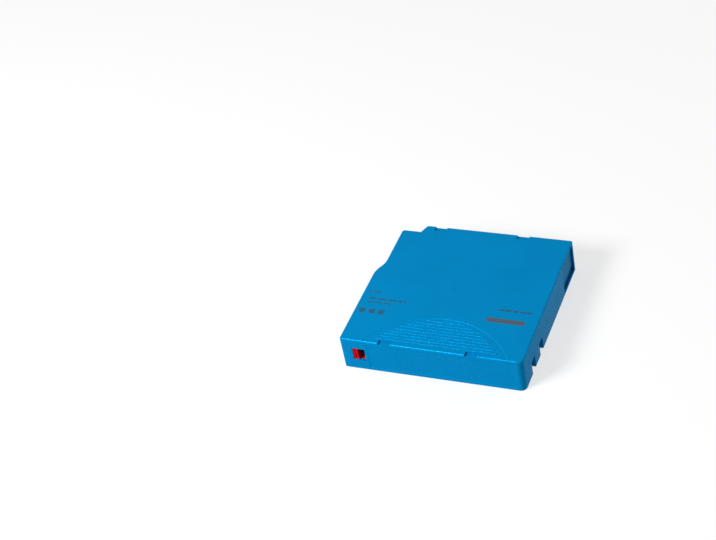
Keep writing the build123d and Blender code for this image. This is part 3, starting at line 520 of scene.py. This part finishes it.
class SmallPartSettings(bpy.types.PropertyGroup):
    """Colours of the parts that move or show in openings."""

    slider: bpy.props.FloatVectorProperty(
        name="Slider colour", description="Colour of the write-protect slider",
        subtype="COLOR", size=3, min=0, max=1, default=(0.66, 0.002, 0.012),
    )
    # The door is of the case's blue plastic. Its default colour is set darker than the case's, as
    # painted shade of the recess it slides in
    door: bpy.props.FloatVectorProperty(
        name="Door colour", description="Colour of the sliding door", subtype="COLOR",
        size=3, min=0, max=1, default=(0.001, 0.18, 0.42),
    )
    brake: bpy.props.FloatVectorProperty(
        name="Brake colour", description="Colour of the brake button", subtype="COLOR",
        size=3, min=0, max=1, default=(0.05, 0.05, 0.055),
    )
    release: bpy.props.FloatVectorProperty(
        name="Release pad colour", description="Colour of the release pad", subtype="COLOR",
        size=3, min=0, max=1, default=(0.62, 0.53, 0.3),
    )
    steel: bpy.props.FloatVectorProperty(
        name="Steel colour", description="Colour of the bare steel parts", subtype="COLOR",
        size=3, min=0, max=1, default=(0.56, 0.56, 0.57),
    )


class ReelSettings(bpy.types.PropertyGroup):
    """Reel plastic and the wound tape."""

    plastic: bpy.props.FloatVectorProperty(
        name="Reel colour", description="Colour of the hub and the flanges", subtype="COLOR",
        size=3, min=0, max=1, default=(0.72, 0.72, 0.68),
    )
    tape: bpy.props.FloatVectorProperty(
        name="Tape colour", description="Colour of the wound tape", subtype="COLOR",
        size=3, min=0, max=1, default=(0.028, 0.02, 0.016),
    )
    bands: bpy.props.IntProperty(
        name="Bands", description="Steps between turns that show at the tape's edge",
        default=40, min=4, max=200,
    )


class SpringSettings(bpy.types.PropertyGroup):
    """Turns of the two coil springs."""

    brake_turns: bpy.props.IntProperty(
        name="Brake spring turns", description="Turns of the brake spring", default=4, min=2,
        max=20,
    )
    door_turns: bpy.props.IntProperty(
        name="Door spring turns", description="Turns of the door spring", default=14, min=4,
        max=60,
    )
    flat_turns: bpy.props.FloatProperty(
        name="Flat turns", description="Share of a turn that lies flat at each end",
        default=0.8, min=0.1, max=1.5,
    )


class StudioSettings(bpy.types.PropertyGroup):
    """Camera, lamps and floor."""

    azimuth: bpy.props.FloatProperty(
        name="Camera azimuth", description="Turn of the camera about the object",
        subtype="ANGLE", default=math.radians(28.773),
    )
    elevation: bpy.props.FloatProperty(
        name="Camera elevation", description="Height of the camera above the horizon",
        subtype="ANGLE", default=math.radians(39.364),
    )
    roll: bpy.props.FloatProperty(
        name="Camera roll", description="Tilt of the picture", subtype="ANGLE",
        default=math.radians(-12.464),
    )
    distance: bpy.props.FloatProperty(
        name="Camera distance", description="Distance from the point it aims at",
        unit="LENGTH", default=0.9711,
    )
    aim: bpy.props.FloatVectorProperty(
        name="Aim", description="Point in the middle of the picture", subtype="TRANSLATION",
        size=3, default=(-0.068946, 0.017212, 0.01075),
    )
    lens: bpy.props.FloatProperty(
        name="Lens", description="Focal length for a sensor 36 mm wide, in millimetres",
        unit="CAMERA", default=83.19,
    )
    key: bpy.props.FloatProperty(
        name="Key light", description="Power of the matt light from the front left",
        unit="POWER", default=15.5,
    )
    edge: bpy.props.FloatProperty(
        name="Edge light", description="Power of the light that only glints on edges",
        unit="POWER", default=22.0,
    )
    rear: bpy.props.FloatProperty(
        name="Rear light", description="Power of the fill from the rear right",
        unit="POWER", default=4.6,
    )
    sky: bpy.props.FloatProperty(
        name="Sky light", description="Strength of the light from all sides", default=0.27,
    )


# Operators

class CARTRIDGE_OT_case(bpy.types.Operator):
    """Dress both halves of the case and the post about the round locating hole."""

    bl_idname = "cartridge.case"
    bl_label = "Case shells"

    def execute(self, context):
        own = context.scene.cartridge_case
        finish = moulded_plastic(
            "case_plastic", own.colour, rough=0.27, cloud=0.02, grain=own.grain,
            depth=0.0006 * MM, edge=own.edge, **SHEEN,
        )
        moulding("cover_shell", "cover_moulding", finish)
        moulding("base_shell", "base_moulding", finish)
        moulding("datum_post", "datum_post_moulding", finish)
        return {"FINISHED"}


# Rows of printed bars. Each has its name, the place of its first bar's middle, the count and
# pitch of its bars, their length, width and corner radius in millimetres, how much shorter a bar
# may come out, and its ink
MARK_ROWS = (
    ("mark_squares", -48.5, -10.2, 4, 1.9, 1.3, 1.3, 0.25, 0.0, "ink_blue"),
    ("mark_upper_line", -45.3, -15.9, 4, 5.9, 5.2, 1.1, 0.4, 0.25, "ink_blue"),
    ("mark_lower_line", -45.3, -19.0, 3, 4.9, 4.3, 0.9, 0.35, 0.2, "ink_blue"),
    ("mark_blocks", -47.8, -26.3, 3, 5.6, 3.6, 3.6, 0.9, 0.0, "ink_blue"),
    ("mark_right_line", 30.0, -12.7, 5, 3.9, 3.3, 1.6, 0.45, 0.15, "ink_blue"),
    ("mark_right_bar", 34.6, -21.2, 1, 1.0, 22.5, 3.4, 1.65, 0.0, "ink_warm"),
)


class CARTRIDGE_OT_marks(bpy.types.Operator):
    """Print plain bars on the top of the case, where such cartridges are printed."""

    bl_idname = "cartridge.marks"
    bl_label = "Printed marks"

    def execute(self, context):
        own = context.scene.cartridge_marks
        inks = {}
        for name, colour in (("ink_blue", own.colour), ("ink_warm", own.warm_colour)):
            ink = Finish(name, Specular_IOR_Level=0.2)
            ink.colour(ink.noise(0.6 * MM, 3.0), *tones(colour, 0.12))
            ink.roughness(ink.noise(0.4 * MM, 2.0), 0.45, 0.6)
            ink.bump(ink.noise(0.2 * MM, 2.0), 0.002 * MM)
            inks[name] = ink.material
        tree = mark_row_tree()
        for name, x, y, count, pitch, length, width, corner, uneven, ink in MARK_ROWS:
            mesh = run_tree(name, tree, {
                "Count": count, "Pitch": pitch * MM, "Length": length * MM,
                "Width": width * MM, "Corner": corner * MM, "Thickness": own.thickness,
                "Unevenness": uneven, "Seed": 3, "Material": inks[ink],
            })
            mesh.transform(Matrix.Translation((x * MM, y * MM, TOP_Z)))
            place(name, mesh, "case")
        return {"FINISHED"}


class CARTRIDGE_OT_screws(bpy.types.Operator):
    """Set a six-lobed screw at each of the four screw places."""

    bl_idname = "cartridge.screws"
    bl_label = "Case screws"

    def execute(self, context):
        source = merged_mesh("case_screws", "screw_places")
        low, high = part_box("case_screws")
        tips = [v.co for v in source.vertices if v.co.z > high.z - TIP_DEPTH]
        places = []
        for tip in tips:
            if all((tip.xy - other).length > LEAST_SCREW_SPACING for other in places):
                places.append(tip.xy.copy())
        if len(places) != SCREW_COUNT:
            raise RuntimeError(f"found {len(places)} screw places and not {SCREW_COUNT}")
        finish = drawn_metal(
            "screw_steel", context.scene.cartridge_small.steel, rough=0.32, size=0.6 * MM
        )
        shape = bpy.data.objects.new("screw_shape", screw_mesh(low.z, high.z))
        host = bpy.data.meshes.new("screw_hosts")
        host.from_pydata([(p.x, p.y, 0) for p in places], [], [])
        mesh = run_tree(
            "case_screw_set", at_points_tree(), {"Shape": shape, "Material": finish}, host
        )
        bpy.data.objects.remove(shape)
        mesh.set_sharp_from_angle(angle=SHARP_ANGLE)
        piece = place("case_screw_set", mesh, "case")
        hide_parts("case_screws")
        return {"FINISHED"}


def screw_mesh(low, high):
    """Pan-head screw, head down, with a six-lobed socket and a helical thread."""
    sides, thread_rings, lobes = 36, 60, 6
    head_radius, shank_radius, head_height = 1.8 * MM, 1.0 * MM, 1.5 * MM
    socket_radius, socket_depth, lobe = 0.85 * MM, 0.9 * MM, 0.16 * MM
    thread_depth, pitch = 0.14 * MM, 0.9 * MM
    thread_low, thread_high = low + head_height + 0.1 * MM, high - 0.9 * MM

    # Each ring has its radius, its height, and whether it follows the lobes and the thread: the
    # socket's floor, its wall and rim, the head's crown and side, and the neck
    rings = [
        (0.0, low + socket_depth, 0, 0),
        (socket_radius * 0.9, low + socket_depth, 1, 0),
        (socket_radius, low + 0.08 * MM, 1, 0),
        (socket_radius + 0.1 * MM, low + 0.02 * MM, 1, 0),
        (head_radius * 0.82, low, 0, 0),
        (head_radius * 0.96, low + 0.12 * MM, 0, 0),
        (head_radius, low + 0.35 * MM, 0, 0),
        (head_radius, low + head_height, 0, 0),
        (shank_radius, low + head_height, 0, 0),
    ]

    for index in range(thread_rings + 1):
        z = thread_low + (thread_high - thread_low) * index / thread_rings
        rings.append((shank_radius, z, 0, 1))
    rings.append((shank_radius * 0.45, high - 0.15 * MM, 0, 0))
    rings.append((0.0, high, 0, 0))

    work = bmesh.new()
    loops = []
    for radius, z, lobed, threaded in rings:
        if radius == 0:
            loops.append([work.verts.new((0, 0, z))])
            continue
        loop = []
        for side in range(sides):
            angle = 2 * math.pi * side / sides
            r = radius + lobed * lobe * math.cos(lobes * angle)
            if threaded:
                turn = (z / pitch + side / sides) % 1
                r -= thread_depth * abs(2 * turn - 1)
            loop.append(work.verts.new((r * math.cos(angle), r * math.sin(angle), z)))
        loops.append(loop)
    for a, b in zip(loops, loops[1:]):
        for side in range(sides):
            following = (side + 1) % sides
            corners = [
                a[side % len(a)], a[following % len(a)], b[following % len(b)], b[side % len(b)]
            ]
            # A ring of radius nought is a single vertex, which two corners share
            work.faces.new(list(dict.fromkeys(corners)))
    bmesh.ops.recalc_face_normals(work, faces=work.faces)
    mesh = bpy.data.meshes.new("screw_shape")
    work.to_mesh(mesh)
    work.free()
    mesh.shade_smooth()
    return mesh


class CARTRIDGE_OT_write_protect(bpy.types.Operator):
    """Dress the write-protect slider in glossy moulded plastic."""

    bl_idname = "cartridge.write_protect"
    bl_label = "Write-protect slider"

    def execute(self, context):
        finish = moulded_plastic(
            "slider_plastic", context.scene.cartridge_small.slider, rough=0.3,
            grain=0.2 * MM, depth=0.002 * MM, edge=0.12 * MM, shine=0.05,
            tint=(1.0, 0.3, 0.3),
        )
        moulding("write_protect_slider", "slider_moulding", finish)
        return {"FINISHED"}


class CARTRIDGE_OT_door(bpy.types.Operator):
    """Dress the sliding door and wind its spring."""

    bl_idname = "cartridge.door"
    bl_label = "Door and its spring"

    def execute(self, context):
        small = context.scene.cartridge_small
        springs = context.scene.cartridge_springs
        # The door's darker blue is painted shade of its recess, not a different plastic
        finish = moulded_plastic(
            "door_plastic", small.door, rough=0.27, cloud=0.02, depth=0.0006 * MM,
            edge=0.2 * MM, **SHEEN,
        )
        moulding("access_door", "door_moulding", finish)
        low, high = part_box("door_spring")
        length = high.y - low.y
        turn = Matrix.Rotation(math.radians(-90), 4, "X")
        centre = Matrix.Translation(((low.x + high.x) / 2, low.y, (low.z + high.z) / 2))
        radius = (high.z - low.z) / 2
        wire = DOOR_WIRE_RADIUS
        mesh = run_tree("door_coil", coil_tree(), {
            "Coil Radius": radius - wire, "Wire Radius": wire, "Height": length - 2 * wire,
            "Turns": float(springs.door_turns), "Flat Turns": springs.flat_turns,
            "Steps": 24, "Sides": 8, "Material": wire_finish(context),
        })
        mesh.transform(centre @ turn @ Matrix.Translation((0, 0, wire)))
        piece = place("door_coil", mesh, "case")
        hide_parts("door_spring")
        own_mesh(piece)
        return {"FINISHED"}


def wire_finish(context):
    """Spring wire, made once for all springs."""
    known = bpy.data.materials.get("spring_wire")
    if known:
        return known
    steel = context.scene.cartridge_small.steel
    return drawn_metal("spring_wire", steel, rough=0.22, size=0.3 * MM)


class CARTRIDGE_OT_reel(bpy.types.Operator):
    """Dress the hub, the flange and the clutch ring, and wind the tape."""

    bl_idname = "cartridge.reel"
    bl_label = "Reel and tape"

    def execute(self, context):
        own = context.scene.cartridge_reel
        plastic = moulded_plastic(
            "reel_plastic", own.plastic, rough=0.38, grain=0.3 * MM, depth=0.003 * MM,
            edge=0.12 * MM, shine=0.45, spread=0.015,
        )
        moulding("reel_hub", "hub_moulding", plastic)
        moulding("reel_flange", "flange_moulding", plastic)
        steel = Finish("clutch_steel", Metallic=1.0)
        steel.colour(steel.noise(4 * MM, 3.0), *tones(context.scene.cartridge_small.steel, 0.06))
        steel.roughness(steel.noise(1.2 * MM, 3.0), 0.25, 0.4)
        steel.rounded(0.1 * MM)
        steel.bump(steel.rings(0.35 * MM, REEL_AXIS, 0.3), 0.003 * MM)
        moulding("clutch_plate", "clutch_ring", steel.material)
        film = Finish("tape_film", Specular_IOR_Level=0.5)
        film.colour(film.rings(0.5 * MM, REEL_AXIS, 0.6), *tones(own.tape, 0.25))
        film.roughness(film.noise(2 * MM, 3.0), 0.2, 0.34)
        film.bump(film.rings(0.12 * MM, REEL_AXIS, 0.5), 0.003 * MM)
        mesh = run_tree("tape_winding", winding_tree(), {
            "Inner Radius": PACK_INNER_RADIUS, "Outer Radius": (PACK_HIGH.x - PACK_LOW.x) / 2,
            "Width": PACK_HIGH.z - PACK_LOW.z - WINDING_ROOM, "Bands": own.bands,
            "Unevenness": TURN_UNEVENNESS, "Steps": 160, "Seed": 5, "Material": film.material,
        })
        mesh.transform(Matrix.Translation((*REEL_AXIS, (PACK_LOW.z + PACK_HIGH.z) / 2)))
        mesh.shade_smooth()
        mesh.set_sharp_from_angle(angle=TURN_SHARP_ANGLE)
        piece = place("tape_winding", mesh, "reel")
        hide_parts("tape_pack")
        dress("tape_leader", film.material)
        return {"FINISHED"}


class CARTRIDGE_OT_brake(bpy.types.Operator):
    """Dress the brake and the release pad, and wind the brake spring."""

    bl_idname = "cartridge.brake"
    bl_label = "Brake and release"

    def execute(self, context):
        small = context.scene.cartridge_small
        springs = context.scene.cartridge_springs
        black = moulded_plastic("brake_plastic", small.brake)
        moulding("brake_button", "brake_moulding", black)
        cream = moulded_plastic("release_plastic", small.release, rough=0.36, shine=0.45)
        moulding("release_pad", "release_moulding", cream)
        low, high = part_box("brake_spring")
        wire = BRAKE_WIRE_RADIUS
        height = high.z - low.z
        mesh = run_tree("brake_coil", coil_tree(), {
            "Coil Radius": (high.x - low.x) / 2 - wire, "Wire Radius": wire,
            "Height": height - 2 * wire, "Turns": float(springs.brake_turns),
            "Flat Turns": springs.flat_turns, "Steps": 40, "Sides": 12,
            "Material": wire_finish(context),
        })
        mesh.transform(Matrix.Translation((*REEL_AXIS, low.z + wire)))
        piece = place("brake_coil", mesh, "case")
        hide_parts("brake_spring")
        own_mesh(piece)
        return {"FINISHED"}


class CARTRIDGE_OT_leader(bpy.types.Operator):
    """Dress the leader pin, its clip and the sheet spring that holds it."""

    bl_idname = "cartridge.leader"
    bl_label = "Leader pin"

    def execute(self, context):
        small = context.scene.cartridge_small
        pin = drawn_metal(
            "pin_steel", small.steel, rough=0.16, stretch=(1, 1, 8), size=0.5 * MM
        )
        moulding("leader_pin", "leader_pin_turned", pin)
        clip = moulded_plastic("clip_plastic", (0.02, 0.02, 0.022), rough=0.35, edge=0.08 * MM)
        moulding("leader_clip", "leader_clip_moulding", clip)
        sheet = drawn_metal("sheet_steel", small.steel, rough=0.25, stretch=(1, 1, 6))
        moulding("pin_spring", "pin_spring_sheet", sheet)
        return {"FINISHED"}


class CARTRIDGE_OT_memory(bpy.types.Operator):
    """Dress the memory board, its chip and its antenna loop."""

    bl_idname = "cartridge.memory"
    bl_label = "Cartridge memory"

    def execute(self, context):
        board = Finish(
            "board_laminate", Specular_IOR_Level=0.5, Coat_Weight=0.5, Coat_Roughness=0.12
        )
        board.colour(board.noise(0.5 * MM, 4.0), (0.008, 0.09, 0.03), (0.012, 0.13, 0.045))
        board.roughness(board.noise(0.8 * MM, 2.0), 0.25, 0.4)
        board.bump(board.noise(0.12 * MM, 2.0), 0.003 * MM)
        dress("memory_board", board.material)
        resin = Finish("chip_resin", Specular_IOR_Level=0.5)
        resin.colour(resin.noise(0.3 * MM, 3.0), (0.012, 0.012, 0.013), (0.02, 0.02, 0.021))
        resin.roughness(resin.noise(0.3 * MM, 2.0), 0.5, 0.7)
        resin.bump(resin.noise(0.08 * MM, 2.0), 0.004 * MM)
        dress("memory_chip", resin.material)
        copper = drawn_metal("antenna_copper", (0.78, 0.36, 0.16), rough=0.25, size=0.2 * MM)
        dress("memory_antenna", copper)
        return {"FINISHED"}


class CARTRIDGE_OT_studio(bpy.types.Operator):
    """Lay the pale floor, hang the lamps and set the camera at the photograph's angle."""

    bl_idname = "cartridge.studio"
    bl_label = "Studio"

    def execute(self, context):
        own = context.scene.cartridge_studio
        scene = context.scene
        scene.view_settings.view_transform = "Standard"
        self.floor(scene)
        self.world(scene, own.sky)
        key = self.lamp(scene, "key_lamp", own.key, (-0.5, -0.62, 0.6), 0.4)
        key.visible_glossy = False
        edge = self.lamp(scene, "edge_lamp", own.edge, (-0.36, -0.11, 0.92), 0.36)
        edge.visible_diffuse = False
        fill = self.lamp(scene, "rear_lamp", own.rear, (0.75, 0.6, 0.2), 0.6)
        fill.visible_glossy = False
        self.camera(scene, own)
        return {"FINISHED"}

    def floor(self, scene):
        """Square floor just under the object."""
        mesh = bpy.data.meshes.new("floor")
        corners = [
            (x * FLOOR_REACH, y * FLOOR_REACH, FLOOR_LEVEL)
            for x, y in ((-1, -1), (1, -1), (1, 1), (-1, 1))
        ]
        mesh.from_pydata(corners, [], [(0, 1, 2, 3)])
        mesh.materials.append(self.floor_material())
        floor = bpy.data.objects.new("floor", mesh)
        scene.collection.objects.link(floor)

    def seen(self, nodes, links):
        """One for camera, glossy and transmission rays, and nought for the others."""
        path = nodes.new("ShaderNodeLightPath")
        total = path.outputs["Is Camera Ray"]
        for name in ("Is Glossy Ray", "Is Transmission Ray"):
            step = nodes.new("ShaderNodeMath")
            step.operation = "MAXIMUM"
            links.new(total, step.inputs[0])
            links.new(path.outputs[name], step.inputs[1])
            total = step.outputs[0]
        return total

    def scaled(self, nodes, links, value, low, high):
        """Value of 0 to 1 carried to a range of numbers."""
        node = nodes.new("ShaderNodeMapRange")
        node.inputs["To Min"].default_value = low
        node.inputs["To Max"].default_value = high
        links.new(value, node.inputs["Value"])
        return node.outputs["Result"]

    def floor_material(self):
        """Pale matt floor that shows white, keeps the object's shadow and is clear from below."""
        material = bpy.data.materials.new("studio_floor")
        material.use_nodes = True
        nodes, links = material.node_tree.nodes, material.node_tree.links
        nodes.clear()
        output = nodes.new("ShaderNodeOutputMaterial")
        total = nodes.new("ShaderNodeAddShader")
        diffuse = nodes.new("ShaderNodeBsdfDiffuse")
        diffuse.inputs["Color"].default_value = (FLOOR_TONE, FLOOR_TONE, FLOOR_TONE, 1)
        glow = nodes.new("ShaderNodeEmission")
        strength = self.scaled(nodes, links, self.seen(nodes, links), 0.0, FLOOR_GLOW)
        links.new(strength, glow.inputs["Strength"])
        links.new(diffuse.outputs[0], total.inputs[0])
        links.new(glow.outputs[0], total.inputs[1])
        side = nodes.new("ShaderNodeNewGeometry")
        clear = nodes.new("ShaderNodeBsdfTransparent")
        one_sided = nodes.new("ShaderNodeMixShader")
        links.new(side.outputs["Backfacing"], one_sided.inputs[0])
        links.new(total.outputs[0], one_sided.inputs[1])
        links.new(clear.outputs[0], one_sided.inputs[2])
        links.new(one_sided.outputs[0], output.inputs["Surface"])
        return material

    def world(self, scene, sky):
        """Even white world, weaker as a light than it looks."""
        world = bpy.data.worlds.new("studio_world")
        world.use_nodes = True
        nodes, links = world.node_tree.nodes, world.node_tree.links
        background = nodes["Background"]
        background.inputs["Color"].default_value = (1, 1, 1, 1)
        strength = self.scaled(nodes, links, self.seen(nodes, links), sky, 1.0)
        links.new(strength, background.inputs["Strength"])
        scene.world = world

    def lamp(self, scene, name, power, direction, size):
        """Square soft lamp that looks at the middle of the object."""
        data = bpy.data.lights.new(name, "AREA")
        data.energy = power
        data.size = size
        lamp = bpy.data.objects.new(name, data)
        scene.collection.objects.link(lamp)
        toward = Vector(direction).normalized()
        lamp.location = toward * LAMP_DISTANCE
        lamp.rotation_euler = toward.to_track_quat("Z", "Y").to_euler()
        lamp.visible_camera = False
        return lamp

    def camera(self, scene, own):
        """Camera set by its angles, its roll and the point that it aims at."""
        flat = math.cos(own.elevation)
        back = Vector((
            math.sin(own.azimuth) * flat, -math.cos(own.azimuth) * flat, math.sin(own.elevation)
        ))
        right = (-back).cross(Vector((0, 0, 1))).normalized()
        up = right.cross(-back)
        across = math.cos(own.roll) * right + math.sin(own.roll) * up
        upward = -math.sin(own.roll) * right + math.cos(own.roll) * up
        data = bpy.data.cameras.new("photo_camera")
        data.lens = own.lens
        data.sensor_width = SENSOR_WIDTH
        data.sensor_fit = "HORIZONTAL"
        data.clip_start = 0.01
        data.clip_end = 20
        camera = bpy.data.objects.new("photo_camera", data)
        scene.collection.objects.link(camera)
        turn = Matrix((across, upward, back)).transposed().to_4x4()
        camera.matrix_world = Matrix.Translation(Vector(own.aim) + back * own.distance) @ turn
        scene.camera = camera


PIECES = (
    CARTRIDGE_OT_case,
    CARTRIDGE_OT_marks,
    CARTRIDGE_OT_screws,
    CARTRIDGE_OT_write_protect,
    CARTRIDGE_OT_reel,
    CARTRIDGE_OT_brake,
    CARTRIDGE_OT_leader,
    CARTRIDGE_OT_door,
    CARTRIDGE_OT_memory,
    CARTRIDGE_OT_studio,
)

SETTINGS = (
    ("cartridge_case", CaseSettings),
    ("cartridge_marks", MarkSettings),
    ("cartridge_small", SmallPartSettings),
    ("cartridge_reel", ReelSettings),
    ("cartridge_springs", SpringSettings),
    ("cartridge_studio", StudioSettings),
)


class CARTRIDGE_PT_panel(bpy.types.Panel):
    """Sizes and colours of the cartridge, with a button for each piece."""

    bl_label = "Tape cartridge"
    bl_idname = "CARTRIDGE_PT_panel"
    bl_space_type = "VIEW_3D"
    bl_region_type = "UI"
    bl_category = "Cartridge"

    def draw(self, context):
        for name, group in SETTINGS:
            box = self.layout.box()
            box.label(text=group.__doc__)
            for key in group.__annotations__:
                box.prop(getattr(context.scene, name), key)
        for operator in PIECES:
            self.layout.operator(operator.bl_idname)


def register():
    for name, group in SETTINGS:
        bpy.utils.register_class(group)
        setattr(bpy.types.Scene, name, bpy.props.PointerProperty(type=group))
    for operator in PIECES:
        bpy.utils.register_class(operator)
    bpy.utils.register_class(CARTRIDGE_PT_panel)


def unregister():
    bpy.utils.unregister_class(CARTRIDGE_PT_panel)
    for operator in reversed(PIECES):
        bpy.utils.unregister_class(operator)
    for name, group in reversed(SETTINGS):
        delattr(bpy.types.Scene, name)
        bpy.utils.unregister_class(group)


def main():
    register()
    for operator in PIECES:
        family, action = operator.bl_idname.split(".")
        getattr(getattr(bpy.ops, family), action)()


if __name__ == "__main__":
    main()
